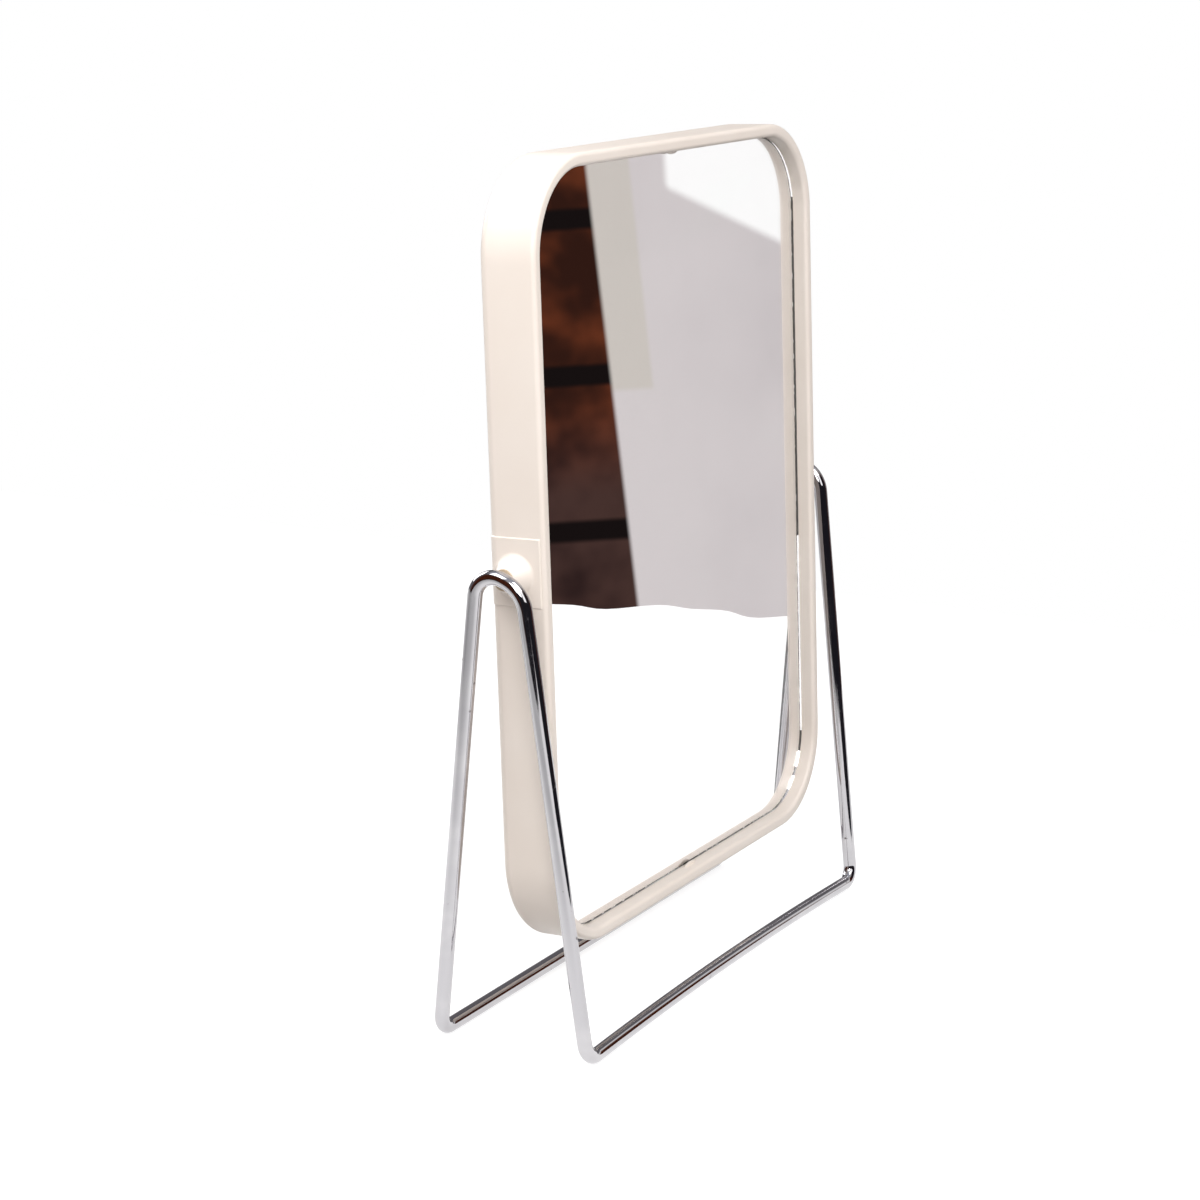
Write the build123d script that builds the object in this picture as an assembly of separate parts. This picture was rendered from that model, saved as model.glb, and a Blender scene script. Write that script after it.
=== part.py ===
from build123d import *
import os

# Table mirror: a framed pane in a deep plastic case, hung between the tops of a bent wire stand.
# Millimetres. +X is the right side seen from the front, the mirror faces -Y, +Z is up.
# The origin is on the table, under the middle of the stand.

# Driving dimensions of the wire stand, to the centre line of the wire except for its gap to the case.
# The heights of the two corners of the top bend are counted from the pivot.
wire_diameter = 4.0
gap_case_to_wire = 5.9
foot_inside_pivot = 5.3
foot_depth = 45.3
foot_bend_radius = 5.0
front_bar_rise = 1.6
pivot_height = 130.2
legs_meet_above_pivot = 54.1
top_bend_front_below_pivot = 1.5
top_bend_front_radius = 9.0
top_bend_rear_above_pivot = 3.3
top_bend_rear_radius = 6.2

# Driving dimensions of the case
case_width = 163.4
case_height = 210.8
case_depth = 16.9
case_corner_radius = 26.0
front_edge_round = 1.25
rear_edge_round = 3.0
lip_round = 1.1
rim_width = 3.6
ledge_width = 1.8
pivot_to_case_back = 7.7
case_centre_above_pivot = 1.0
lean_back_degrees = 2.05

# Driving dimensions of the mirror and what lies behind it
glass_recess = 4.1
glass_thickness = 1.1
glass_seam = 0.2
glass_clearance = 0.15
silvering_thickness = 0.1
tape_thickness = 1.0
tape_clearance = 0.2
card_clearance = 0.5

# Nubs moulded over the edge of the glass
nub_width = 6.0
nub_reach = 0.9
nub_thickness = 1.2
nub_clearance = 0.1

# Pads and bosses on the side walls
pad_height = 18.4
pad_step = 0.4
boss_base_diameter = 10.5
boss_nose_diameter = 5.8

# How far the bosses and the nubs are sunk into the wall that they stand on
root_depth = 1.8

# Pivot hardware
pin_diameter = 3.0
pin_clearance = 0.05
pin_end_past_clip = 1.6
pin_end_chamfer = 0.3
friction_washer_diameter = 5.7
friction_washer_thickness = 0.5
washer_end_play = 0.05
washer_bore_clearance = 0.1
pocket_diameter = 7.2
pocket_clearance = 0.1
pocket_floor_to_pad = 0.5
thrust_washer_thickness = 0.5
spring_washer_metal = 0.4
spring_washer_height = 0.9
clip_thickness = 0.8
clip_collar_diameter = 4.6
clip_flange_thickness = 0.35

# Back cover, its ribs and its screws
cover_thickness = 2.0
cover_inset = 0.2
cover_clearance = 0.15
rib_thickness = 1.2
rib_height = 2.0
rib_column_offset = 26.0
rib_row_offset = 66.0
rib_end_gap = 4.0
web_leg = 34.0
web_thickness = 2.0
web_gap_to_card = 0.2
post_inset = 12.0
post_diameter = 6.4
screw_diameter = 2.9
screw_length = 6.5
screw_head_diameter = 5.4
screw_slot_width = 0.8
screw_slot_length = 3.0
screw_slot_depth = 0.8
screw_clearance = 0.05
screw_floor = 0.5
screw_head_sink = 0.1

# Foam blocks between the cover and the card
block_side = 16.0
block_clearance = 0.05
block_column_offset = 50.0
block_row_offset = 33.0

# Places that follow from the dimensions. Case places are counted from the pivot axis, case upright.
wire_radius = wire_diameter / 2
pivot_span = case_width + 2 * gap_case_to_wire + wire_diameter
foot_span = pivot_span - 2 * foot_inside_pivot
legs_meet_height = pivot_height + legs_meet_above_pivot
top_bend_front_height = pivot_height - top_bend_front_below_pivot
top_bend_rear_height = pivot_height + top_bend_rear_above_pivot
front_face = pivot_to_case_back - case_depth
rear_face = pivot_to_case_back
glass_front = front_face + glass_recess
glass_back = glass_front + glass_thickness
silvering_back = glass_back + silvering_thickness
card_back = silvering_back + tape_thickness
cover_back = rear_face - cover_inset
cover_front = cover_back - cover_thickness
web_front = card_back + web_gap_to_card
web_back = web_front + web_thickness
wall_face = case_width / 2
pocket_half_width = wall_face - rim_width
ledge_half_width = pocket_half_width - ledge_width
ledge_half_height = case_height / 2 - rim_width - ledge_width
pad_face = wall_face + pad_step
wire_inner_face = pivot_span / 2 - wire_radius
nose_face = wire_inner_face - friction_washer_thickness - 2 * washer_end_play
pocket_floor = pad_face + pocket_floor_to_pad
thrust_inner = pocket_floor - thrust_washer_thickness
spring_inner = thrust_inner - spring_washer_height
clip_inner = spring_inner - clip_thickness
pin_inner_end = clip_inner - pin_end_past_clip
pin_radius = pin_diameter / 2
washer_bore_radius = pin_radius + washer_bore_clearance
inner_washer_radius = pocket_diameter / 2 - pocket_clearance


def slab(inset, y_from, y_to):
    """A plate with the case's outline drawn in by inset, filling y_from to y_to, case upright."""
    outline = RectangleRounded(
        case_width - 2 * inset, case_height - 2 * inset, case_corner_radius - inset
    )
    back_plane = Plane.XZ.offset(-y_to)
    plate = extrude(back_plane * outline, y_to - y_from)
    return Pos(0, 0, case_centre_above_pivot) * plate


def rod(radius, x_from, x_to):
    """A round bar along the pivot axis."""
    return extrude(Plane.YZ.offset(x_from) * Circle(radius), x_to - x_from)


def ring(outer_radius, inner_radius, x_from, x_to):
    """A flat washer round the pivot axis."""
    return rod(outer_radius, x_from, x_to) - rod(inner_radius, x_from, x_to)


def stud(radius, x, z, y_from, y_to):
    """A round bar along Y, at x and z from the middle of the case."""
    disc = Plane.XZ.offset(-y_to) * Pos(x, z) * Circle(radius)
    return Pos(0, 0, case_centre_above_pivot) * extrude(disc, y_to - y_from)


def box_between(x_range, y_range, z_range):
    """A plain box from three ranges, counted from the middle of the case."""
    size = [high - low for low, high in (x_range, y_range, z_range)]
    middle = [(high + low) / 2 for low, high in (x_range, y_range, z_range)]
    return Pos(0, 0, case_centre_above_pivot) * Pos(*middle) * Box(*size)


def hung(shape):
    """A case-frame shape at its place on the stand: leaned back, then lifted to the pivots."""
    return Pos(0, 0, pivot_height) * Rot(-lean_back_degrees, 0, 0) * shape


def on_pivot_line(shape):
    """A right-hand pivot piece at its place on the stand."""
    return Pos(0, 0, pivot_height) * shape


def left_of(shape):
    """The left-hand twin of a right-hand shape."""
    return mirror(shape, about=Plane.YZ)


def corner_places(x, z):
    """The four places at plus and minus x and z."""
    return [(sx * x, sz * z) for sx in (-1, 1) for sz in (-1, 1)]


# Wire stand
def on_leg(height):
    """Where the centre line of a leg is at a height: how far out to the side, and how far in depth."""
    rise = height - wire_radius
    side_lean = foot_inside_pivot / (pivot_height - wire_radius)
    left_to_go = (legs_meet_height - height) / (legs_meet_height - wire_radius)
    return foot_span / 2 + rise * side_lean, foot_depth / 2 * left_to_go


def make_wire_stand():
    """One closed wire: a front bar, two legs each side joined by a bend at the pivot, a rear bar.

    The bend is two arcs that run into each other, a wide one in front and a tight one behind.
    """
    foot_x, foot_y = on_leg(wire_radius)
    front_x, front_y = on_leg(top_bend_front_height)
    rear_x, rear_y = on_leg(top_bend_rear_height)
    route = [
        (0, -foot_y, wire_radius + 2 * front_bar_rise),
        (foot_x, -foot_y, wire_radius),
        (front_x, -front_y, top_bend_front_height),
        (rear_x, rear_y, top_bend_rear_height),
        (foot_x, foot_y, wire_radius),
        (-foot_x, foot_y, wire_radius),
        (-rear_x, rear_y, top_bend_rear_height),
        (-front_x, -front_y, top_bend_front_height),
        (-foot_x, -foot_y, wire_radius),
    ]
    # The front bar is one long arc, which takes nearly all of its two runs. A run turns by the
    # angle whose tangent is its rise over its length, which gives the arc's radius.
    half_bar = foot_x - 2 * foot_bend_radius
    bar_radius = half_bar * foot_x / (2 * front_bar_rise)
    radii = [
        bar_radius,
        foot_bend_radius,
        top_bend_front_radius,
        top_bend_rear_radius,
        foot_bend_radius,
        foot_bend_radius,
        top_bend_rear_radius,
        top_bend_front_radius,
        foot_bend_radius,
    ]
    path = FilletPolyline(*route, radius=radii, close=True)
    start = path.edges()[0]
    section = Plane(start @ 0, z_dir=start % 0) * Circle(wire_radius)
    return sweep(section, path=path)


# Pivot hardware, right-hand side
def make_pivot_pin():
    """A plain pin whose flat outer end meets the inner side of the wire's bend."""
    pin = rod(pin_radius, pin_inner_end, wire_inner_face)
    pin = chamfer(pin.edges().sort_by(Axis.X)[0], pin_end_chamfer)
    return on_pivot_line(pin)


def make_friction_washer():
    """The fibre ring between the boss and the wire."""
    start = nose_face + washer_end_play
    washer = ring(
        friction_washer_diameter / 2,
        washer_bore_radius,
        start,
        start + friction_washer_thickness,
    )
    return on_pivot_line(washer)


def make_thrust_washer():
    """A flat steel washer on the floor of the pocket inside the wall."""
    return on_pivot_line(
        ring(inner_washer_radius, washer_bore_radius, thrust_inner, pocket_floor)
    )


def make_spring_washer():
    """A coned spring washer: its metal is one thickness, slanted over the washer's height."""
    rise = spring_washer_height - spring_washer_metal
    profile = Polyline(
        (washer_bore_radius, spring_inner),
        (washer_bore_radius, spring_inner + spring_washer_metal),
        (inner_washer_radius, spring_inner + spring_washer_metal + rise),
        (inner_washer_radius, spring_inner + rise),
        close=True,
    )
    turned = revolve(Plane.XZ * make_face(profile), axis=Axis.Z)
    return on_pivot_line(Rot(0, 90, 0) * turned)


def make_retaining_clip():
    """A push-on clip: a thin flange with a raised collar that grips the pin."""
    flange = rod(inner_washer_radius, spring_inner - clip_flange_thickness, spring_inner)
    collar = rod(clip_collar_diameter / 2, clip_inner, spring_inner)
    return on_pivot_line(flange + collar - rod(pin_radius, clip_inner, spring_inner))


# Case
def make_nub():
    """A lens-shaped nub on the lower inner wall of the rim, just in front of the glass."""
    half = nub_width / 2
    radius = (half**2 + nub_reach**2) / (2 * nub_reach)
    wall_z = -(case_height / 2 - rim_width)
    back = glass_front - nub_clearance
    lens = stud(radius, 0, wall_z + nub_reach - radius, back - nub_thickness, back)
    keep = box_between(
        (-half, half),
        (back - nub_thickness, back),
        (wall_z - root_depth, wall_z + nub_reach),
    )
    return lens & keep


def make_boss():
    """The right-hand conical boss, from inside the wall out to its nose."""
    cone = Cone(
        boss_base_diameter / 2,
        boss_nose_diameter / 2,
        nose_face - pad_face,
        align=(Align.CENTER, Align.CENTER, Align.MIN),
    )
    root = rod(boss_base_diameter / 2, wall_face - root_depth, pad_face)
    return Plane.YZ.offset(pad_face) * cone + root


def make_pads(case):
    """The raised pads: the case's own section, stepped out sideways by the pad's height."""
    stretch = (case_width + 2 * pad_step) / case_width
    wide = scale(case, by=(stretch, 1, 1))
    band = box_between(
        (-pad_face, pad_face),
        (front_face + front_edge_round, rear_face),
        (-pad_height / 2, pad_height / 2),
    )
    return wide & band


def make_corner_web(sx, sz):
    """A three-cornered web across one inner corner, with the post for a cover screw."""
    corner = (sx * ledge_half_width, sz * ledge_half_height)
    triangle = Polyline(
        corner,
        (corner[0] - sx * web_leg, corner[1]),
        (corner[0], corner[1] - sz * web_leg),
        close=True,
    )
    sheet = extrude(Plane.XZ.offset(-web_back) * make_face(triangle), web_thickness)
    sheet = Pos(0, 0, case_centre_above_pivot) * sheet
    web = sheet & slab(rim_width + ledge_width / 2, web_front, web_back)
    x = corner[0] - sx * post_inset
    z = corner[1] - sz * post_inset
    post = stud(post_diameter / 2, x, z, web_back, cover_front)
    hole = stud(
        screw_diameter / 2 + screw_clearance, x, z, web_front + screw_floor, cover_front
    )
    return web + post - hole


def make_case_frame():
    """Rim, walls and the thicker middle band, with pads, bosses, nubs and corner webs."""
    case = slab(0, front_face, rear_face)
    case = fillet(case.faces().sort_by(Axis.Y)[0].edges(), front_edge_round)
    case = fillet(case.faces().sort_by(Axis.Y)[-1].edges(), rear_edge_round)
    outside = case + make_pads(case)
    frame = outside - slab(rim_width, front_face, card_back)
    frame -= slab(rim_width + ledge_width, card_back, cover_front)
    frame -= slab(rim_width, cover_front, rear_face)
    mouth = frame.faces().filter_by(Axis.Y).sort_by(Axis.Y)[0].inner_wires()[0]
    frame = fillet(mouth.edges(), lip_round)
    boss = make_boss()
    frame += [boss, left_of(boss)]
    pocket = rod(pocket_diameter / 2, ledge_half_width - ledge_width, pocket_floor)
    pocket += rod(pin_radius + pin_clearance, pocket_floor, nose_face)
    frame -= [pocket, left_of(pocket)]
    nub = make_nub()
    turned_nub = Pos(0, 0, 2 * case_centre_above_pivot) * mirror(nub, about=Plane.XY)
    frame += [nub, turned_nub]
    for sx, sz in corner_places(1, 1):
        frame += make_corner_web(sx, sz)
    return hung(frame)


# Mirror and what lies behind it
def make_mirror_glass():
    """The pane, with its sharp edges ground off front and back."""
    pane = slab(rim_width + glass_clearance, glass_front, glass_back)
    front_edges = pane.faces().sort_by(Axis.Y)[0].edges()
    back_edges = pane.faces().sort_by(Axis.Y)[-1].edges()
    pane = chamfer(front_edges + back_edges, glass_seam)
    return hung(pane)


def make_mirror_silvering():
    """Silver and paint on the back of the pane, up to its ground edge."""
    return hung(
        slab(rim_width + glass_clearance + glass_seam, glass_back, silvering_back)
    )


def make_foam_tape():
    """The ring of foam tape on the ledge."""
    outer = slab(rim_width + tape_clearance, silvering_back, card_back)
    inner = slab(rim_width + ledge_width, silvering_back, card_back)
    return hung(outer - inner)


def make_backing_card():
    """Grey card behind the silvering, inside the ring of tape."""
    inset = rim_width + ledge_width + card_clearance
    return hung(slab(inset, silvering_back, card_back))


def make_foam_blocks():
    """Four separate blocks between the card and the cover."""
    half = block_side / 2
    depth = (card_back + block_clearance, cover_front - block_clearance)
    blocks = [
        box_between((x - half, x + half), depth, (z - half, z + half))
        for x, z in corner_places(block_column_offset, block_row_offset)
    ]
    return Compound([hung(block).solid() for block in blocks])


# Back cover
def screw_places():
    """Where the four cover screws go, from the middle of the case."""
    return corner_places(ledge_half_width - post_inset, ledge_half_height - post_inset)


def countersink(x, z, diameter, y_back):
    """The cone under a countersunk head, at 90 degrees, down from y_back."""
    radius = diameter / 2
    cone = Cone(radius, 0, radius, align=(Align.CENTER, Align.CENTER, Align.MIN))
    turned = Plane.XZ.offset(-y_back) * Pos(x, z) * cone
    return Pos(0, 0, case_centre_above_pivot) * turned


def make_back_cover():
    """The panel that closes the case, with stiffening ribs inside and countersunk holes."""
    cover = slab(rim_width + cover_clearance, cover_front, cover_back)
    rib_front = cover_front - rib_height
    reach_x = ledge_half_width - rib_end_gap
    reach_z = ledge_half_height - rib_end_gap
    half = rib_thickness / 2
    for x in (-rib_column_offset, rib_column_offset):
        cover += box_between(
            (x - half, x + half), (rib_front, cover_front), (-reach_z, reach_z)
        )
    for z in (-rib_row_offset, 0, rib_row_offset):
        cover += box_between(
            (-reach_x, reach_x), (rib_front, cover_front), (z - half, z + half)
        )
    hole_radius = screw_diameter / 2 + screw_clearance
    head = screw_head_diameter + 2 * (screw_head_sink + screw_clearance)
    for x, z in screw_places():
        cover -= stud(hole_radius, x, z, cover_front, cover_back)
        cover -= countersink(x, z, head, cover_back)
    return hung(cover)


def make_cover_screws():
    """Four separate countersunk screws with cross recesses."""
    screws = []
    half = screw_slot_width / 2
    reach = screw_slot_length / 2
    top = cover_back - screw_head_sink
    slot_y = (top - screw_slot_depth, top)
    for x, z in screw_places():
        screw = stud(screw_diameter / 2, x, z, top - screw_length, top)
        screw += countersink(x, z, screw_head_diameter, top)
        screw -= box_between((x - reach, x + reach), slot_y, (z - half, z + half))
        screw -= box_between((x - half, x + half), slot_y, (z - reach, z + reach))
        screws.append(screw)
    return Compound([hung(screw).solid() for screw in screws])


# One file for each piece
pieces = {
    "wire_stand": make_wire_stand(),
    "case_frame": make_case_frame(),
    "mirror_glass": make_mirror_glass(),
    "mirror_silvering": make_mirror_silvering(),
    "foam_tape": make_foam_tape(),
    "backing_card": make_backing_card(),
    "foam_blocks": make_foam_blocks(),
    "back_cover": make_back_cover(),
    "cover_screws": make_cover_screws(),
}
paired = {
    "pivot_pin": make_pivot_pin(),
    "friction_washer": make_friction_washer(),
    "thrust_washer": make_thrust_washer(),
    "spring_washer": make_spring_washer(),
    "retaining_clip": make_retaining_clip(),
}
for name, piece in paired.items():
    pieces["right_" + name] = piece
    pieces["left_" + name] = left_of(piece)

os.makedirs("parts", exist_ok=True)
for name, piece in pieces.items():
    export_step(piece, f"parts/{name}.step")
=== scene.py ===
import bpy
import numpy as np
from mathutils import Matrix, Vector


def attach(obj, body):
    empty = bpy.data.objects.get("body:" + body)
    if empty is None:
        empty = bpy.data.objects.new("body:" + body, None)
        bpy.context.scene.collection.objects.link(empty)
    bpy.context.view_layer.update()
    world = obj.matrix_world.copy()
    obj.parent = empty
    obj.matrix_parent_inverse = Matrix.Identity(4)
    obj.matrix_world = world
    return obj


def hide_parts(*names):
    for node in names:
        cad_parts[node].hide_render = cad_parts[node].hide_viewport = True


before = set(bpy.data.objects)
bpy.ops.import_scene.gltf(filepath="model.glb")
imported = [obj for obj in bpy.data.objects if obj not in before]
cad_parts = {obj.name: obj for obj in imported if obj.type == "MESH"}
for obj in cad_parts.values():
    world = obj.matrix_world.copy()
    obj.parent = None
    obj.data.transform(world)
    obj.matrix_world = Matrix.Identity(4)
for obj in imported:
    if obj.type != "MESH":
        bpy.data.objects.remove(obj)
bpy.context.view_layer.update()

MM = 0.001

# The case, in millimetres, upright and counted from the pivot line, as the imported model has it
PIVOT_HEIGHT = 130.2
LEAN_BACK = np.radians(2.05)
CASE_MIDDLE = 1.0
CASE_HALF_WIDTH = 81.7
CASE_HALF_HEIGHT = 105.4
CORNER_RADIUS = 26.0
FRONT_FACE = -9.2
REAR_FACE = 7.7
RIM = 3.6
LEDGE = 1.8
COVER_FRONT = 5.5
LIP_ROUND = 1.1
FRONT_ROUND = 1.25
REAR_ROUND = 3.0

# The pads and bosses at the pivots
PAD_HALF_HEIGHT = 9.2
PAD_STEP = 0.4
PAD_BEVEL = 0.3
PIN_BORE = 1.55
NOSE = 87.0
NOSE_ROUND = 0.4
NOSE_FLAT = 2.75
CONE_START_RADIUS, CONE_START_ABOVE_PAD = 5.0, 1.35
CONE_END_RADIUS, CONE_END_BELOW_NOSE = 3.2, 0.35
FOOT_HOLLOW_REACH = 6.35
FOOT_HOLLOW = 1.0

# The small lens-shaped nubs in front of the pane: half width, depth, height and the gap to the pane
NUB_HALF = (3.25, 0.62, 0.93)
NUB_GAP = 0.10

# The pane and what lies behind it
GLASS_FRONT = -5.1
GLASS_BACK = -4.0
SILVER_BACK = -3.9
CARD_BACK = -2.9
PANE_INSET = RIM + 0.15
PANE_SEAM = 0.2
SEAM_WANDER = 0.06
SILVER_GAP = 0.02

# The wire stand
WIRE_RADIUS = 2.0
FOOT_HALF_SPAN = 84.3
FOOT_HALF_DEPTH = 22.65
FOOT_INSIDE_PIVOT = 5.3
LEGS_MEET = 184.3
BEND_FRONT_BELOW_PIVOT = 1.5
BEND_REAR_ABOVE_PIVOT = 3.3
FOOT_BEND = 5.0
TOP_BEND_FRONT = 9.0
TOP_BEND_REAR = 6.2
BAR_RISE = 1.6
BAR_STRAIGHT_END = 10.0
WIRE_STEP = 4.0


# Meshes
def hung(points):
    """Case-frame points, upright and counted from the pivot line, leaned back and lifted, in metres.

    The lean turns each point about X: depth and height mix by the angle's cosine and sine.
    """
    x, y, z = points[..., 0], points[..., 1], points[..., 2]
    c, s = np.cos(LEAN_BACK), np.sin(LEAN_BACK)
    return np.stack([x, y * c + z * s, PIVOT_HEIGHT - y * s + z * c], -1) * MM


def grid_faces(rows, cols, closed_rows, closed_cols, flip=False):
    """Quads between neighbours of a rows by cols grid, whose points are numbered row by row."""
    r = np.arange(rows if closed_rows else rows - 1)[:, None]
    c = np.arange(cols if closed_cols else cols - 1)[None, :]
    r2, c2 = (r + 1) % rows, (c + 1) % cols
    corners = [r * cols + c, r * cols + c2, r2 * cols + c2, r2 * cols + c]
    if flip:
        corners = corners[::-1]
    return np.stack([np.broadcast_to(k, (r.size, c.size)) for k in corners], -1).reshape(-1, 4)


def end_faces(points):
    """One face over the first column of a grid of points and one over the last, as closed rings."""
    rows, cols = points.shape[:2]
    first = np.arange(rows) * cols
    return first[None, :], (first + cols - 1)[None, :]


def make_piece(name, parts, body, material, node, crease):
    """One mesh object from several (points, faces) parts, smooth except over creases of that angle."""
    points = np.concatenate([p for p, _ in parts])
    faces, start = [], 0
    for p, groups in parts:
        for group in groups:
            faces += (np.asarray(group) + start).tolist()
        start += len(p)
    mesh = bpy.data.meshes.new(name)
    mesh.from_pydata(points.tolist(), [], faces)
    mesh.polygons.foreach_set("use_smooth", np.ones(len(mesh.polygons), bool))
    mesh.set_sharp_from_angle(angle=np.radians(crease))
    mesh.validate()
    piece = bpy.data.objects.new(name, mesh)
    bpy.context.scene.collection.objects.link(piece)
    for one in material if isinstance(material, list) else [material]:
        mesh.materials.append(one)
    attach(piece, body)
    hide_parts(node)
    return piece


def arc(centre, radius, start, end, count):
    """Points of a circle from one angle to another, both in degrees."""
    a = np.radians(np.linspace(start, end, count))
    return np.stack([centre[0] + radius * np.cos(a), centre[1] + radius * np.sin(a)], -1)


def outline_stations(corner_steps, side_z):
    """The case outline as anchors on its outer face and the outward normals there, both (x, z).

    Four quarter circles joined by straights; side_z are the heights wanted on the long sides.
    """
    cx, cz = CASE_HALF_WIDTH - CORNER_RADIUS, CASE_HALF_HEIGHT - CORNER_RADIUS
    middle_x = np.linspace(-cx, cx, 26)[1:-1]
    turn = np.radians(np.linspace(0, 90, corner_steps))
    anchors, normals = [], []

    def straight(x, z, nx, nz):
        anchors.append(np.stack(np.broadcast_arrays(x, z), -1).astype(float))
        normals.append(np.stack(np.broadcast_arrays(nx + 0 * anchors[-1][:, 0], nz), -1))

    def corner(sx, sz, first):
        n = np.stack([np.cos(turn + first), np.sin(turn + first)], -1)
        anchors.append(np.array([sx * cx, sz * cz]) + CORNER_RADIUS * n)
        normals.append(n)

    straight(CASE_HALF_WIDTH, side_z, 1.0, 0.0)
    corner(1, 1, 0)
    straight(middle_x[::-1], CASE_HALF_HEIGHT, 0.0, 1.0)
    corner(-1, 1, np.pi / 2)
    straight(-CASE_HALF_WIDTH, side_z[::-1], -1.0, 0.0)
    corner(-1, -1, np.pi)
    straight(middle_x, -CASE_HALF_HEIGHT, 0.0, -1.0)
    corner(1, -1, 3 * np.pi / 2)
    return np.concatenate(anchors), np.concatenate(normals)


def swept_profile(profile, anchors, normals, side_push=None):
    """Each (inset, depth) of the profile, carried round the outline: anchor minus inset times normal.

    side_push, where given, moves each point along X.
    """
    inset, depth = profile[:, 0], profile[:, 1]
    xz = anchors[:, None, :] - normals[:, None, :] * inset[None, :, None]
    if side_push is not None:
        xz[..., 0] += side_push
    y = np.broadcast_to(depth, xz.shape[:2])
    return np.stack([xz[..., 0], y, xz[..., 1] + CASE_MIDDLE], -1)


def smooth_step(x, low, high):
    """0 below low, 1 above high, and 3t^2 - 2t^3 between them."""
    t = np.clip((x - low) / (high - low), 0, 1)
    return t * t * (3 - 2 * t)


def side_heights():
    """Heights of the stations on a long side: close together over the pad's two bevelled ends."""
    bevel_steps = PAD_BEVEL * np.array([-1.0, -0.6, -0.2, 0.0, 0.5])
    pad_end = PAD_HALF_HEIGHT + bevel_steps
    pad_middle = np.linspace(-8.0, 8.0, 15)
    beyond = np.linspace(PAD_HALF_HEIGHT + 1.5, CASE_HALF_HEIGHT - CORNER_RADIUS - 1.0, 22)
    return np.concatenate([-beyond[::-1], -pad_end[::-1], pad_middle, pad_end, beyond])


def case_section():
    """The case's closed section as (inset, depth), and 1 for its points on the outer wall, 0 elsewhere.

    In order: the inner wall, the lip's quarter circle, the front edge's, the wall, the rear edge's,
    and the step that holds the cover.
    """
    inner_y = np.linspace(CARD_BACK, FRONT_FACE + LIP_ROUND, 8)[:-1]
    inner = np.stack([RIM + 0 * inner_y, inner_y], -1)
    lip = arc((RIM - LIP_ROUND, FRONT_FACE + LIP_ROUND), LIP_ROUND, 0, -90, 10)
    front = arc((FRONT_ROUND, FRONT_FACE + FRONT_ROUND), FRONT_ROUND, 270, 180, 12)
    wall_y = np.linspace(FRONT_FACE + FRONT_ROUND + 0.25, REAR_FACE - REAR_ROUND, 10)[:-1]
    wall = np.stack([0 * wall_y, wall_y], -1)
    rear = arc((REAR_ROUND, REAR_FACE - REAR_ROUND), REAR_ROUND, 180, 90, 18)
    cover_step = np.array(
        [
            [RIM, REAR_FACE],
            [RIM, COVER_FRONT],
            [RIM + LEDGE, COVER_FRONT],
            [RIM + LEDGE, CARD_BACK],
        ]
    )
    rows = [inner, lip, front, wall, rear, cover_step]
    on_wall = np.concatenate([np.full(len(row), float(row is wall or row is rear)) for row in rows])
    return np.concatenate(rows), on_wall


def case_body():
    """Rim, walls and inner band as one closed section carried round the outline, with the pads.

    A pad pushes the wall's points out by its step, over a short slope at its two ends.
    """
    anchors, normals = outline_stations(40, side_heights())
    section, on_wall = case_section()
    sideways = normals[:, 0] * (np.abs(normals[:, 0]) > 0.999)
    pad = 1 - smooth_step(np.abs(anchors[:, 1]), PAD_HALF_HEIGHT - PAD_BEVEL, PAD_HALF_HEIGHT)
    push = PAD_STEP * (sideways * pad)[:, None] * on_wall[None, :]
    points = swept_profile(section, anchors, normals, push)
    rows, cols = points.shape[:2]
    return points.reshape(-1, 3), [grid_faces(rows, cols, True, True)]


def turned_on_pivot(profile, side, segments=96):
    """A closed (radius, x) profile turned a full circle about the pivot line."""
    a = np.linspace(0, 2 * np.pi, segments, endpoint=False)
    r, x = profile[:, 0], profile[:, 1]
    points = np.stack(
        [
            np.broadcast_to(side * x, (segments, len(x))),
            np.cos(a)[:, None] * r,
            np.sin(a)[:, None] * r,
        ],
        -1,
    )
    faces = grid_faces(segments, len(x), True, True, flip=side < 0)
    return points.reshape(-1, 3), [faces]


def boss(side):
    """The conical boss: a small hollow curve at its foot, a straight cone, a rounded nose, the bore."""
    pad_face = CASE_HALF_WIDTH + PAD_STEP
    inside_wall = pad_face - 1.0
    foot = arc((FOOT_HOLLOW_REACH, pad_face + FOOT_HOLLOW), FOOT_HOLLOW, 270, 195, 8)
    cone = np.array(
        [
            [CONE_START_RADIUS, pad_face + CONE_START_ABOVE_PAD],
            [CONE_END_RADIUS, NOSE - CONE_END_BELOW_NOSE],
        ]
    )
    nose = arc((NOSE_FLAT, NOSE - NOSE_ROUND), NOSE_ROUND, 15, 90, 6)
    bore = np.array([[PIN_BORE, NOSE], [PIN_BORE, inside_wall], [FOOT_HOLLOW_REACH, inside_wall]])
    return turned_on_pivot(np.concatenate([foot, cone, nose, bore]), side)


def nub(up):
    """A lens on the inner wall in front of the pane: a squashed ball, half of it in the wall."""
    a = np.linspace(0, 2 * np.pi, 40, endpoint=False)[:, None]
    b = np.radians(np.linspace(-89.5, 89.5, 25))[None, :]
    wall_z = CASE_HALF_HEIGHT - RIM
    half_x, half_y, half_z = NUB_HALF
    x = half_x * np.cos(a) * np.cos(b)
    y = GLASS_FRONT - NUB_GAP - half_y + half_y * np.sin(b) + 0 * a
    z = wall_z - half_z * np.sin(a) * np.cos(b)
    z = (z if up else -z) + CASE_MIDDLE
    points = np.stack([x, y, z], -1)
    faces = grid_faces(*points.shape[:2], True, False)
    first, last = end_faces(points)
    groups = [faces, first[:, ::-1], last]
    if not up:
        groups = [group[:, ::-1] for group in groups]
    return points.reshape(-1, 3), groups


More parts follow.
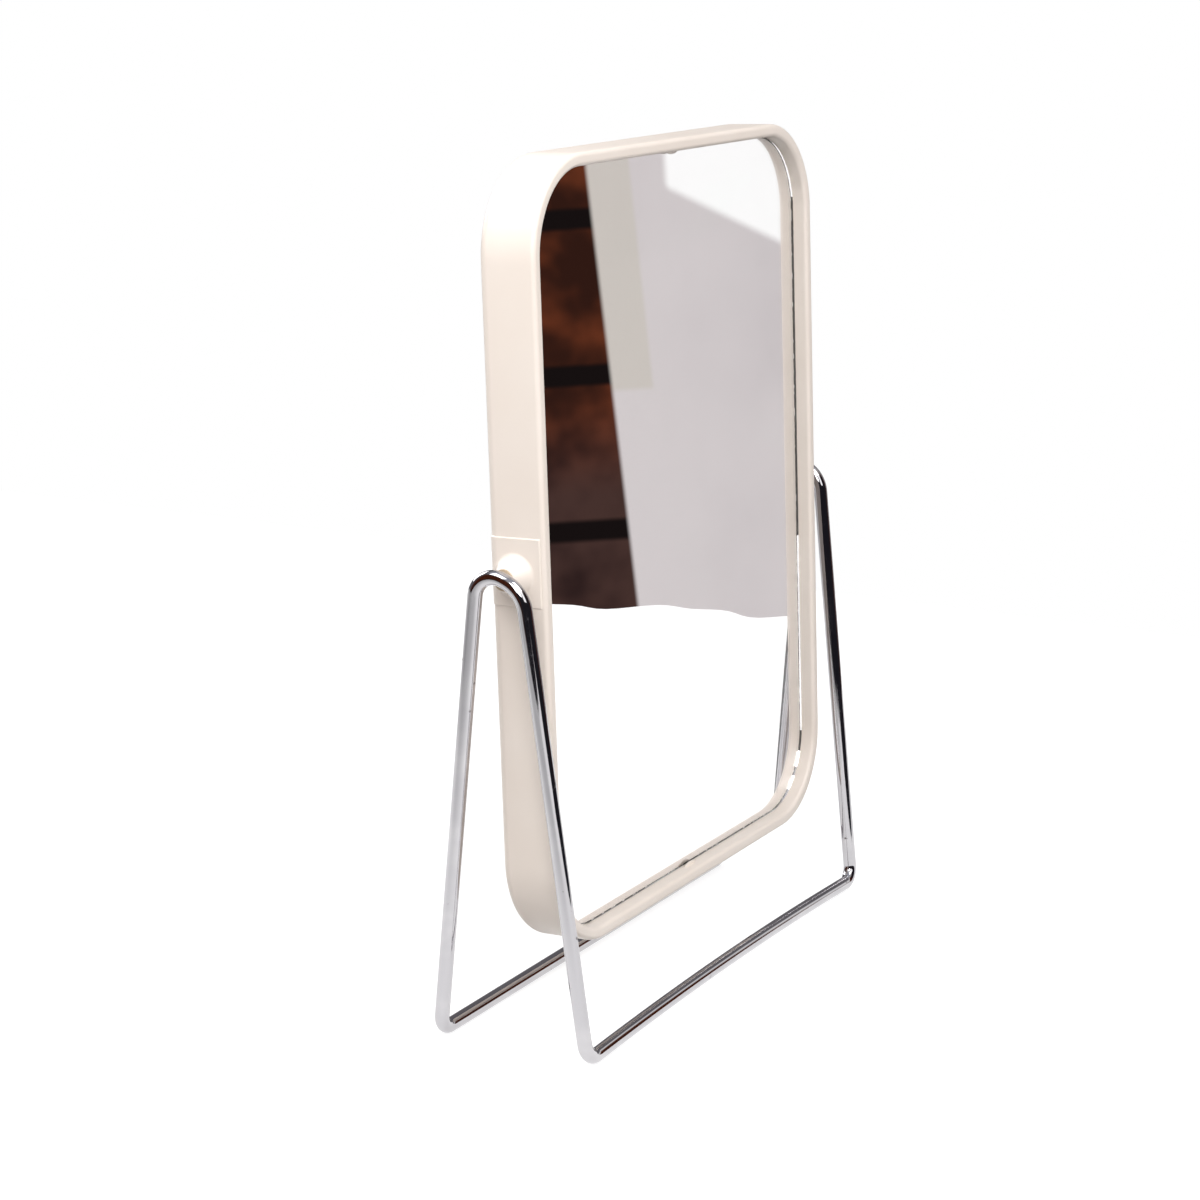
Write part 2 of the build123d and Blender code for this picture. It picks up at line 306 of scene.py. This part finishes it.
def plate_points(rows, corner_steps, side_steps):
    """A plate's (inset, depth) rows carried round the case outline, as a grid of stations by rows."""
    reach = CASE_HALF_HEIGHT - CORNER_RADIUS - 0.9
    anchors, normals = outline_stations(corner_steps, np.linspace(-reach, reach, side_steps))
    return swept_profile(np.array(rows), anchors, normals)


def plate_part(points):
    """A plate from its grid of stations by rows: the sides and the two flat ends."""
    first, last = end_faces(points)
    sides = grid_faces(*points.shape[:2], True, False)
    return hung(points.reshape(-1, 3)), [sides, first, last[:, ::-1]]


def corner_path(route, radii):
    """A closed line through the route with each corner rounded by its radius.

    Where two straights meet at the inner angle 2h, the arc's centre lies radius / sin(h) from the corner
    on the line that halves the angle, and the arc starts and ends radius / tan(h) from the corner.
    """
    route = np.array(route, float)
    arcs = []
    for i, radius in enumerate(radii):
        before, at, after = route[i - 1], route[i], route[(i + 1) % len(route)]
        u = (before - at) / np.linalg.norm(before - at)
        v = (after - at) / np.linalg.norm(after - at)
        half = np.arccos(np.clip(u @ v, -1, 1)) / 2
        centre = at + (u + v) / np.linalg.norm(u + v) * radius / np.sin(half)
        a, b = at + u * radius / np.tan(half) - centre, at + v * radius / np.tan(half) - centre
        sweep = np.pi - 2 * half
        steps = max(24, int(radius * sweep / WIRE_STEP))
        t = np.linspace(0, 1, steps)[:, None]
        arcs.append(centre + (np.sin((1 - t) * sweep) * a + np.sin(t * sweep) * b) / np.sin(sweep))
    knots = np.concatenate(arcs)
    following = np.roll(knots, -1, 0)
    gaps = np.linalg.norm(following - knots, axis=1)
    stretches = [
        a + (b - a) * np.linspace(0, 1, max(1, int(gap / WIRE_STEP)), endpoint=False)[:, None]
        for a, b, gap in zip(knots, following, gaps)
        if gap > 1e-6
    ]
    return np.concatenate(stretches)


def wire_route():
    """Corners of the stand's wire, in order, and the radius of each bend, in millimetres."""
    lean_out = FOOT_INSIDE_PIVOT / (PIVOT_HEIGHT - WIRE_RADIUS)

    def on_leg(height):
        left = (LEGS_MEET - height) / (LEGS_MEET - WIRE_RADIUS)
        return FOOT_HALF_SPAN + (height - WIRE_RADIUS) * lean_out, FOOT_HALF_DEPTH * left

    front_z = PIVOT_HEIGHT - BEND_FRONT_BELOW_PIVOT
    rear_z = PIVOT_HEIGHT + BEND_REAR_ABOVE_PIVOT
    (front_x, front_y), (rear_x, rear_y) = on_leg(front_z), on_leg(rear_z)
    route = [
        (0, -FOOT_HALF_DEPTH, WIRE_RADIUS + 2 * BAR_RISE),
        (FOOT_HALF_SPAN, -FOOT_HALF_DEPTH, WIRE_RADIUS),
        (front_x, -front_y, front_z),
        (rear_x, rear_y, rear_z),
        (FOOT_HALF_SPAN, FOOT_HALF_DEPTH, WIRE_RADIUS),
        (-FOOT_HALF_SPAN, FOOT_HALF_DEPTH, WIRE_RADIUS),
        (-rear_x, rear_y, rear_z),
        (-front_x, -front_y, front_z),
        (-FOOT_HALF_SPAN, -FOOT_HALF_DEPTH, WIRE_RADIUS),
    ]
    bow = (FOOT_HALF_SPAN - BAR_STRAIGHT_END) * FOOT_HALF_SPAN / (2 * BAR_RISE)
    side_bends = [FOOT_BEND, TOP_BEND_FRONT, TOP_BEND_REAR, FOOT_BEND]
    return route, [bow] + side_bends + side_bends[::-1]


def wire_tube(segments=56):
    """The wire: circles set square to the line, turned so that they never twist sharply.

    Each circle's first direction is the line's direction crossed with one fixed slanting vector.
    """
    path = corner_path(*wire_route())
    tangent = np.roll(path, -1, 0) - np.roll(path, 1, 0)
    tangent /= np.linalg.norm(tangent, axis=1)[:, None]
    first = np.cross(tangent, np.array([1.0, 1.0, 1.0]))
    first /= np.linalg.norm(first, axis=1)[:, None]
    second = np.cross(tangent, first)
    a = np.linspace(0, 2 * np.pi, segments, endpoint=False)
    ring = np.cos(a)[None, :, None] * first[:, None] + np.sin(a)[None, :, None] * second[:, None]
    points = path[:, None, :] + WIRE_RADIUS * ring
    return points.reshape(-1, 3) * MM, [grid_faces(*points.shape[:2], True, True, flip=True)]


# Materials
class Socket:
    """A shader value that adds its own Math nodes when Python does sums with it."""

    def __init__(self, maker, socket):
        self.maker, self.socket = maker, socket

    def _math(self, operation, *values):
        return self.maker.node("ShaderNodeMath", {"operation": operation}, *values)

    def __add__(self, other):
        return self._math("ADD", self, other)

    def __mul__(self, other):
        return self._math("MULTIPLY", self, other)

    def __sub__(self, other):
        return self._math("SUBTRACT", self, other)

    def __rsub__(self, other):
        return self._math("SUBTRACT", other, self)

    __radd__, __rmul__ = __add__, __mul__

    def step(self, low, high):
        """0 at low and before it, 1 at high and past it, smooth between them."""
        return self.maker.node(
            "ShaderNodeMapRange",
            {"interpolation_type": "SMOOTHSTEP", "clamp": True},
            self, low, high, 0.0, 1.0,
        )

    def limit(self, low, high):
        return self._math("MINIMUM", self._math("MAXIMUM", self, low), high)


class Maker:
    """Builds the nodes of one material or world."""

    def __init__(self, owner):
        owner.use_nodes = True
        self.tree = owner.node_tree
        self.tree.nodes.clear()

    def node(self, kind, settings, *values, out=0, **named):
        """A new node with its settings, then its sockets by place or by name; gives one output."""
        made = self.tree.nodes.new(kind)
        for key, value in settings.items():
            setattr(made, key, value)
        for key, value in list(enumerate(values)) + list(named.items()):
            target = made.inputs[key]
            if isinstance(value, Socket):
                self.tree.links.new(value.socket, target)
            else:
                target.default_value = value
        return Socket(self, made.outputs[out])

    def place(self):
        return self.node("ShaderNodeTexCoord", {}, out="Object")

    def scaled(self, size):
        return self.node("ShaderNodeMapping", {}, self.place(), Scale=size)

    def noise(self, scale, detail=2.0, rough=0.5, vector=None):
        return self.node(
            "ShaderNodeTexNoise", {}, Vector=vector or self.place(), Scale=scale,
            Detail=detail, Roughness=rough,
        )

    def mix(self, factor, a, b):
        """Colour a where the factor is 0 and colour b where it is 1."""
        made = self.tree.nodes.new("ShaderNodeMix")
        made.data_type = "RGBA"
        for key, value in ((0, factor), (6, a), (7, b)):
            if isinstance(value, Socket):
                self.tree.links.new(value.socket, made.inputs[key])
            else:
                made.inputs[key].default_value = value
        return Socket(self, made.outputs[2])

    def split(self, vector):
        """The three numbers of a vector."""
        parts = self.tree.nodes.new("ShaderNodeSeparateXYZ")
        self.tree.links.new(vector.socket, parts.inputs[0])
        return [Socket(self, part) for part in parts.outputs]

    def rays(self, *kinds):
        """1 for a ray of any of these kinds, 0 for the others."""
        path = self.tree.nodes.new("ShaderNodeLightPath")
        return sum(Socket(self, path.outputs[f"Is {kind} Ray"]) for kind in kinds).limit(0.0, 1.0)

    def bump(self, height, distance, strength=1.0):
        return self.node(
            "ShaderNodeBump", {}, Strength=strength, Distance=distance, Height=height
        )

    def finish(self, shader):
        kind = "World" if isinstance(self.tree.id_data, bpy.types.World) else "Material"
        end = self.tree.nodes.new(f"ShaderNodeOutput{kind}")
        self.tree.links.new(shader.socket, end.inputs["Surface"])


def linear(red, green, blue):
    """A colour from 0 to 255 sRGB as linear values."""
    c = np.array([red, green, blue]) / 255.0
    return tuple(np.where(c <= 0.04045, c / 12.92, ((c + 0.055) / 1.055) ** 2.4)) + (1.0,)


def material(name, build):
    """A new material; build gets the maker and returns the values for the Principled shader."""
    made = bpy.data.materials.new(name)
    maker = Maker(made)
    maker.finish(maker.node("ShaderNodeBsdfPrincipled", {}, **build(maker)))
    return made


WHITE = (1, 1, 1, 1)
IVORY, IVORY_PALE, IVORY_WORN = linear(237, 225, 214), linear(240, 229, 219), linear(214, 200, 186)
PLATE, PLATE_HAZY, PLATE_PITTED = linear(187, 185, 188), linear(198, 196, 198), linear(96, 88, 86)
GLASS_HAZY = linear(253, 255, 254)
SEAM_BRIGHT, SEAM_CHIPPED = linear(236, 237, 236), linear(244, 243, 240)
SILVER_FRESH, SILVER_AGED = linear(253, 252, 252), linear(249, 248, 248)
COVER, COVER_RUBBED = linear(236, 224, 210), linear(241, 231, 219)
SCREW, SCREW_STAINED = linear(196, 197, 199), linear(150, 148, 144)
PIN, PIN_STAINED = linear(205, 205, 208), linear(170, 168, 166)
SPRING, SPRING_STAINED = linear(120, 120, 126), linear(72, 70, 70)
FOAM, FOAM_CELL = linear(58, 58, 60), linear(34, 34, 36)
CARD, CARD_FIBRE = linear(146, 140, 131), linear(120, 115, 108)
FIBRE, FIBRE_DARK = linear(214, 194, 168), linear(190, 168, 140)


def ivory_gloss(m):
    """Moulded ivory plastic: faint cloudy tint, fine handling scratches, a soft ripple of the mould."""
    cloud = m.noise(28.0, 3.0)
    fine = m.noise(900.0, 2.0)
    scratch = m.noise(1.0, 3.0, 0.6, m.scaled((90.0, 2600.0, 700.0))).step(0.62, 0.78)
    tint = m.mix(cloud.step(0.3, 0.7), IVORY, IVORY_PALE)
    height = m.noise(110.0, 1.0) * 0.6 + fine * 0.08 + scratch * 0.05
    return {
        "Base Color": m.mix(scratch * 0.06, tint, IVORY_WORN),
        "Roughness": 0.27 + cloud * 0.06 + fine * 0.05 + scratch * 0.10,
        "IOR": 1.5,
        "Normal": m.bump(height, 0.00006, 0.5),
    }


def chrome(m):
    """Chrome plate with sparse dark pits and hazy rubbed patches."""
    haze = m.noise(60.0, 3.0).step(0.45, 0.7)
    pits = m.noise(420.0, 1.0, 0.4).step(0.735, 0.775) * m.noise(35.0, 1.0).step(0.42, 0.6)
    dust = m.noise(1900.0, 1.0, 0.4).step(0.73, 0.80)
    plate = m.mix(haze, PLATE, PLATE_HAZY)
    height = 1 - (pits + dust * 0.3)
    return {
        "Base Color": m.mix(pits * 0.75, plate, PLATE_PITTED),
        "Metallic": 1.0,
        "Roughness": 0.045 + haze * 0.05 + pits * 0.35 + dust * 0.12,
        "Normal": m.bump(height, 0.00002, 0.4),
    }


def clear_pane(m):
    """Float glass, with a trace of green and of wiping haze."""
    haze = m.noise(1.0, 3.0, 0.6, m.scaled((14.0, 14.0, 40.0))).step(0.5, 0.9)
    return {
        "Base Color": m.mix(haze, WHITE, GLASS_HAZY),
        "Roughness": haze * 0.012,
        "IOR": 1.51,
        "Transmission Weight": 1.0,
    }


def pane_seam(m):
    """The narrow slope round the pane's front: it mirrors where it is sound, dull and pale in its chips."""
    chips = m.noise(1.0, 2.0, 0.6, m.scaled((620.0, 620.0, 420.0))).step(0.57, 0.62)
    grind = m.noise(2400.0, 2.0, 0.6)
    return {
        "Base Color": m.mix(chips, SEAM_BRIGHT, SEAM_CHIPPED),
        "Metallic": 1 - chips,
        "Roughness": 0.03 + chips * 0.4 + grind * 0.02,
    }


def silvering(m):
    """Silver behind the pane, hardly clouded by age."""
    age = m.noise(22.0, 4.0, 0.6).step(0.45, 0.85)
    return {
        "Base Color": m.mix(age, SILVER_FRESH, SILVER_AGED),
        "Metallic": 1.0,
        "Roughness": age * 0.006,
    }


def grained_cover(m):
    """Matt back panel: spark-eroded grain with shiny rubbed high spots."""
    grain = m.noise(1500.0, 3.0, 0.6)
    rub = m.noise(30.0, 4.0, 0.6).step(0.45, 0.75)
    return {
        "Base Color": m.mix(rub, COVER, COVER_RUBBED),
        "Roughness": 0.56 - rub * 0.12 + grain * 0.08,
        "Normal": m.bump(grain, 0.00012, 0.5),
    }


def steel(clean, stained, rough):
    """Plain steel, drawn or plated, with streaks and stains."""

    def build(m):
        streak = m.noise(1.0, 4.0, 0.7, m.scaled((300.0, 1400.0, 1400.0)))
        stain = m.noise(260.0, 3.0).step(0.5, 0.75)
        return {
            "Base Color": m.mix(stain, clean, stained),
            "Metallic": 1.0,
            "Roughness": rough + streak * 0.12 + stain * 0.12,
            "Normal": m.bump(streak, 0.00002, 0.4),
        }

    return build


def dull(light, dark, scale, rough, relief):
    """A dull fibrous or foamy stuff, mottled and pitted at one scale."""

    def build(m):
        cells = m.noise(scale, 4.0, 0.65)
        patch = m.noise(scale / 9, 2.0)
        return {
            "Base Color": m.mix(cells.step(0.3, 0.7), light, dark),
            "Roughness": rough + patch * 0.1,
            "Normal": m.bump(cells, relief, 0.8),
        }

    return build


ivory = material("ivory_plastic", ivory_gloss)
chromed = material("chromed_wire", chrome)
pane_glass = material("pane", clear_pane)
pane_edge = material("pane_ground_edge", pane_seam)
silver = material("silver", silvering)
cover_plastic = material("cover_plastic", grained_cover)
screw_steel = material("screw_steel", steel(SCREW, SCREW_STAINED, 0.28))
pin_steel = material("pin_steel", steel(PIN, PIN_STAINED, 0.2))
spring_steel = material("spring_steel", steel(SPRING, SPRING_STAINED, 0.3))
foam = material("foam", dull(FOAM, FOAM_CELL, 1400.0, 0.85, 0.0003))
card = material("grey_card", dull(CARD, CARD_FIBRE, 900.0, 0.8, 0.0001))
fibre = material("tan_fibre", dull(FIBRE, FIBRE_DARK, 1100.0, 0.7, 0.0001))


# Pieces that stand for a CAD node
def wire_stand():
    return make_piece(
        "wire_stand_chromed", [wire_tube()], "stand", chromed, "wire_stand", 60
    )


def case_moulding():
    parts = [case_body(), boss(1), boss(-1), nub(False), nub(True)]
    parts = [(hung(points), faces) for points, faces in parts]
    return make_piece("case_moulding", parts, "head", ivory, "case_frame", 28)


def mirror_pane():
    """The pane: its front seam wanders inward and outward by small smoothed random steps.

    The steps are a three-station running mean of normal draws, clipped, along the outline's inward side.
    """
    rows = [
        (PANE_INSET + PANE_SEAM, GLASS_FRONT),
        (PANE_INSET + PANE_SEAM * 0.5, GLASS_FRONT + PANE_SEAM * 0.5),
        (PANE_INSET, GLASS_FRONT + PANE_SEAM),
        (PANE_INSET, GLASS_BACK),
    ]
    points = plate_points(rows, 120, 360)
    stations = len(points)
    draws = np.random.default_rng(7).normal(0, 1, stations)
    wander = np.convolve(np.tile(draws, 3), np.ones(3) / 3, "same")[stations : 2 * stations]
    wander = np.clip(wander, -1.2, 1.6) * SEAM_WANDER
    inward = points[:, 0] - points[:, 2]
    inward /= np.linalg.norm(inward[:, [0, 2]], axis=1)[:, None]
    points[:, 0, [0, 2]] += inward[:, [0, 2]] * wander[:, None]
    finishes = [pane_glass, pane_edge]
    pane = make_piece(
        "mirror_pane", [plate_part(points)], "head", finishes, "mirror_glass", 20
    )
    clear, ground = 0, 1
    strips = np.array([ground, ground, clear])
    finish_of_face = np.full(len(pane.data.polygons), clear, np.int32)
    finish_of_face[: stations * len(strips)] = np.tile(strips, stations)
    pane.data.polygons.foreach_set("material_index", finish_of_face)
    return pane


def mirror_silver():
    inset = PANE_INSET + SILVER_GAP
    rows = [(inset, GLASS_BACK - SILVER_GAP), (inset, SILVER_BACK)]
    part = plate_part(plate_points(rows, 44, 30))
    return make_piece("mirror_silver", [part], "head", silver, "mirror_silvering", 30)


wire_stand()
case_moulding()
mirror_pane()
mirror_silver()

# CAD nodes that stay, with their own finishes
kept = {
    "foam_tape": foam,
    "backing_card": card,
    "foam_blocks": foam,
    "back_cover": cover_plastic,
    "cover_screws": screw_steel,
}
for side in ("left", "right"):
    kept[f"{side}_pivot_pin"] = pin_steel
    kept[f"{side}_friction_washer"] = fibre
    kept[f"{side}_thrust_washer"] = screw_steel
    kept[f"{side}_spring_washer"] = spring_steel
    kept[f"{side}_retaining_clip"] = spring_steel
for name, finish in kept.items():
    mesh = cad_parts[name].data
    mesh.materials.clear()
    mesh.materials.append(finish)

# The table, in metres. Its far edge on the right shows as the wavy line in the mirror's lower half
TABLE_LEFT, TABLE_RIGHT, TABLE_REAR = -0.47, 0.445, 3.0
TABLE_NEAR_CAMERA, TABLE_NEAR_MIDDLE, TABLE_NEAR_RIGHT = -0.8, -0.4, -0.36
TABLE_NOTCH = -0.2


def table_corners():
    """The table's outline: straight edges, and a right edge that wavers by two small sines."""
    y = np.linspace(TABLE_NEAR_RIGHT, -0.10, 53)
    x = TABLE_RIGHT + 0.006 * np.sin(70.0 * y) + 0.003 * np.sin(163.0 * y)
    return [
        (TABLE_LEFT, TABLE_NEAR_CAMERA),
        (TABLE_NOTCH, TABLE_NEAR_CAMERA),
        (TABLE_NOTCH, TABLE_NEAR_MIDDLE),
        *zip(x, y),
        (TABLE_RIGHT, TABLE_REAR),
        (TABLE_LEFT, TABLE_REAR),
    ]


def white_table(m):
    """White table top. Seen directly or in metal and glass it is lifted to white, shadow kept.

    In metal alone it carries painted shade, dimmer toward the left and the rear, and a painted dark
    reflection past a slanting line in front.
    """
    seen = m.rays("Camera", "Glossy", "Transmission")
    in_metal = m.rays("Glossy")
    x, y, _ = m.split(m.place())
    # Painted shade seen only in metal: the table's glow is lowered toward the left and the rear.
    left = (x * -1).step(0.10, 0.35) * y.step(-0.32, -0.10)
    rear = y.step(0.22, 0.45)
    painted_shade_in_metal = (left * 0.60 + rear * 0.40).limit(0.0, 0.68) * in_metal
    plain = m.node("ShaderNodeBsdfDiffuse", {}, (0.42, 0.41, 0.40, 1))
    faint = m.node("ShaderNodeBsdfDiffuse", {}, (0.42, 0.42, 0.42, 1))
    glow = m.node("ShaderNodeEmission", {}, WHITE, 0.77 - painted_shade_in_metal)
    lifted = m.node("ShaderNodeAddShader", {}, faint, glow)
    table = m.node("ShaderNodeMixShader", {}, seen, plain, lifted)
    # Painted dark reflection: past a slanting line in front, the table turns near black for glossy rays
    # alone.
    painted_dark_zone = (x * 0.97 - y).step(0.258, 0.274) * ((x + y * 1.66) * -1).step(0.10, 0.115)
    dark = m.node("ShaderNodeBsdfDiffuse", {}, (0.02, 0.02, 0.025, 1))
    return m.node("ShaderNodeMixShader", {}, painted_dark_zone * in_metal, table, dark)


table_mesh = bpy.data.meshes.new("table_top")
corners = [(x, y, 0.0) for x, y in table_corners()]
table_mesh.from_pydata(corners, [], [list(range(len(corners)))])
table_top = bpy.data.objects.new("table_top", table_mesh)
bpy.context.scene.collection.objects.link(table_top)
table_look = bpy.data.materials.new("table_top")
table_maker = Maker(table_look)
table_maker.finish(white_table(table_maker))
table_mesh.materials.append(table_look)

# The room, as angles in degrees: turn about the vertical from +X, and height above the horizon
DARK_EDGE, DARK_EDGE_SLOPE = -29.77, 0.058
DARK_TOP = (46.0, 34.0)
LEFT_DARK_FROM = (95.0, 125.0)
COURSE_AT, COURSE_PITCH = -3.93, 3.06
STRIP_EDGE, STRIP_EDGE_SLOPE, STRIP_FOOT = -28.9, 0.05, (-7.4, -7.25)
WHITE_EDGE, WHITE_EDGE_SLOPE, WHITE_FROM = -3.45, 0.55, (-28.15, -27.95)
WARM, WARM_DEEP = linear(112, 56, 34), linear(48, 26, 20)
WARM_LOW, WARM_LOW_DEEP = linear(70, 50, 46), linear(40, 27, 27)
COURSE_DARK, FAR_DARK = linear(22, 17, 17), linear(36, 34, 40)
SHEET, SHEET_SHADED, STRIP = linear(212, 206, 207), linear(199, 193, 195), linear(202, 196, 188)
SIDES, OVERHEAD = linear(118, 116, 120), linear(196, 199, 208)
ROOM_LIGHT = (0.42, 0.42, 0.43, 1)


def warm_side(m, direction, turn, height):
    """The dark side: mottled warm tones in even courses, nearly black further toward the camera."""
    mottle = m.noise(26.0, 3.0, 0.6, direction).step(0.35, 0.65)
    upper = m.mix(mottle, WARM, WARM_DEEP)
    lower = m.mix(mottle, WARM_LOW, WARM_LOW_DEEP)
    warm = m.mix(height.step(-7.0, -9.5), upper, lower)
    wave = (height - COURSE_AT) * (2 * np.pi / COURSE_PITCH)
    course = m.node("ShaderNodeMath", {"operation": "COSINE"}, wave)
    warm = m.mix(course.step(0.86, 0.96), warm, COURSE_DARK)
    return m.mix(turn.step(-34.0, -60.0), warm, FAR_DARK)


def pale_side(m, direction, turn, height):
    """The side that the mirror faces: a pale sheet, a strip at its left, white above a slanting edge."""
    wobble = m.noise(9.0, 3.0, 0.5, direction)
    sheet = m.mix(wobble.step(0.3, 0.7), SHEET, SHEET_SHADED)
    strip = (turn - STRIP_EDGE + height * STRIP_EDGE_SLOPE).step(0.06, -0.06) * height.step(*STRIP_FOOT)
    sheet = m.mix(strip * 0.8, sheet, STRIP)
    edge = WHITE_EDGE - (turn + 28.0) * WHITE_EDGE_SLOPE
    above = (height - edge).step(-0.12, 0.12) * turn.step(*WHITE_FROM)
    return m.mix(above, sheet, WHITE)


def room(m):
    """White to the camera, plain light to dull surfaces; metal and glass see the room's sides."""
    direction = m.node("ShaderNodeTexCoord", {}, out="Generated")
    x, y, z = m.split(direction)
    turn = m.node("ShaderNodeMath", {"operation": "ARCTAN2"}, y, x) * (180 / np.pi)
    height = m.node("ShaderNodeMath", {"operation": "ARCSINE"}, z) * (180 / np.pi)
    edge = DARK_EDGE - height * DARK_EDGE_SLOPE
    dark = (turn - edge).step(0.06, -0.06) + turn.step(*LEFT_DARK_FROM)
    dark = dark.limit(0.0, 1.0) * height.step(*DARK_TOP)
    bright = m.mix(turn.step(-24.0, -19.0), pale_side(m, direction, turn, height), SIDES)
    around = m.mix(dark, bright, warm_side(m, direction, turn, height))
    around = m.mix(height.step(40.0, 62.0), around, OVERHEAD)
    lit = m.mix(m.rays("Glossy", "Transmission"), ROOM_LIGHT, around)
    seen = m.mix(m.rays("Camera"), lit, WHITE)
    return m.node("ShaderNodeBackground", {}, seen, 1.0)


world = bpy.data.worlds.new("studio")
bpy.context.scene.world = world
world_maker = Maker(world)
world_maker.finish(room(world_maker))


# Lamps and camera
def lamp(name, place, target, size, power):
    """A square soft box that faces the target."""
    data = bpy.data.lights.new(name, "AREA")
    data.shape, data.size, data.energy = "SQUARE", size, power
    made = bpy.data.objects.new(name, data)
    made.location = place
    made.rotation_mode = "QUATERNION"
    made.rotation_quaternion = (Vector(target) - Vector(place)).to_track_quat("-Z", "Y")
    bpy.context.scene.collection.objects.link(made)


lamp("near_left", (-0.24, 0.10, 0.47), (-0.08, 0, 0.24), 0.22, 0.56)
lamp("camera_side", (-0.50, -0.25, 0.50), (-0.05, 0, 0.23), 0.3, 1.95)
lamp("front_fill", (-0.45, -1.3, 0.95), (0, 0, 0.12), 0.8, 3.4)
lamp("front_above", (-0.1, -0.5, 0.9), (0, 0, 0.12), 0.4, 2.9)
lamp("behind", (0.35, 1.3, 0.75), (0, 0, 0.12), 0.8, 9.0)

SENSOR = 36.0
PICTURE_PIXELS, FOCAL_PIXELS = 1200.0, 2901.16
CAMERA_PLACE = (-0.70741, -0.37301, 0.29795)
TURN_RIGHT, LOOK_DOWN = np.radians(60.929), np.radians(13.446)

camera_data = bpy.data.cameras.new("camera")
camera_data.sensor_width = SENSOR
camera_data.lens = FOCAL_PIXELS * SENSOR / PICTURE_PIXELS
camera_data.clip_start, camera_data.clip_end = 0.01, 20.0
look = Vector(
    (
        np.sin(TURN_RIGHT) * np.cos(LOOK_DOWN),
        np.cos(TURN_RIGHT) * np.cos(LOOK_DOWN),
        -np.sin(LOOK_DOWN),
    )
)
camera = bpy.data.objects.new("camera", camera_data)
camera.location = CAMERA_PLACE
camera.rotation_mode = "QUATERNION"
camera.rotation_quaternion = look.to_track_quat("-Z", "Y")
bpy.context.scene.collection.objects.link(camera)
bpy.context.scene.camera = camera
bpy.context.scene.view_settings.view_transform = "Standard"
